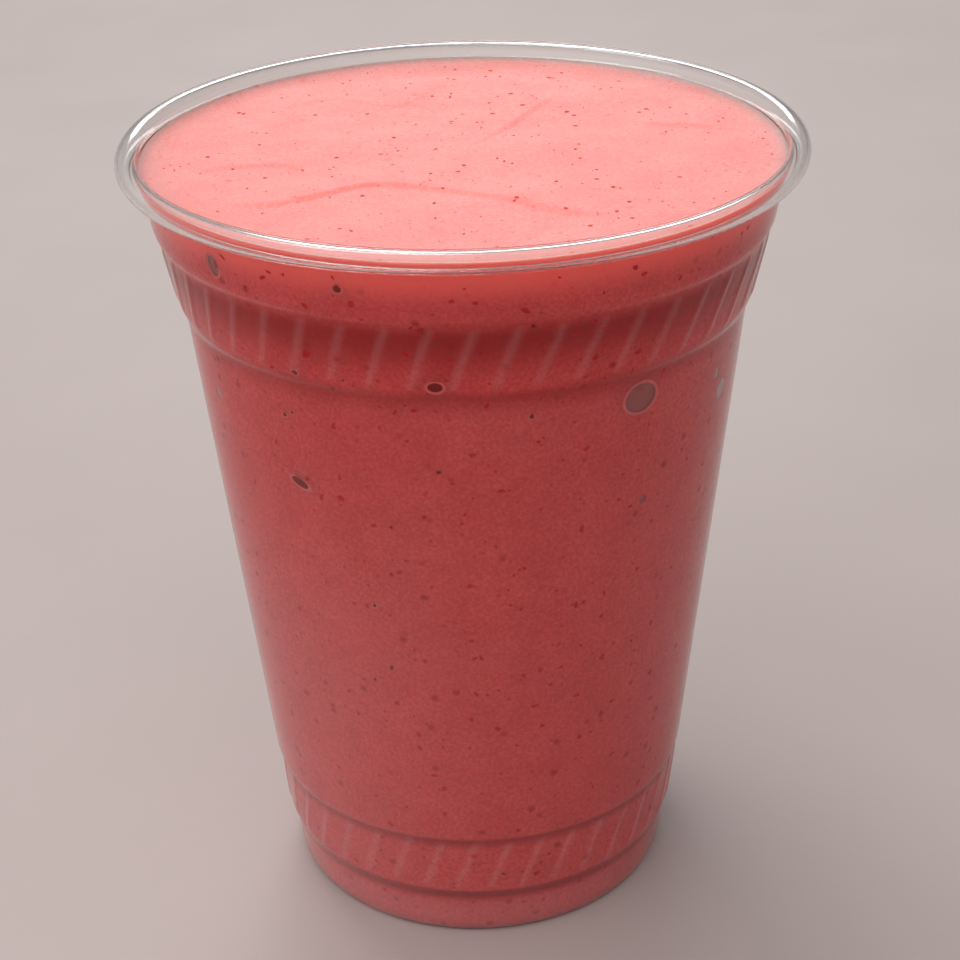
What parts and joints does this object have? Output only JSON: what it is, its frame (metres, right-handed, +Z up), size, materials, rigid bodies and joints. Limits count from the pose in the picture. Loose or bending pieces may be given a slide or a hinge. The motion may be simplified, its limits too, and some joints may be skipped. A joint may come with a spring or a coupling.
{
  "type": "strawberry smoothie in a clear cup",
  "caption": "Thick pink strawberry smoothie filling a tapered clear plastic cup with a rolled rim, a stacking collar and two bands of slanted ribs, for drinking.",
  "frame": {"origin": "middle of the flat foot that the cup stands on", "axes": "+Z up along the cup's axis, -Y towards the pictured side"},
  "size_m": [0.098, 0.098, 0.12],
  "materials": {
    "clear_plastic": "clear glossy thin plastic",
    "strawberry_smoothie": "wet pink fruit puree with red flecks"
  },
  "bodies": {
    "root": {"cup": "clear_plastic", "smoothie": "strawberry_smoothie"}
  },
  "joints": []
}
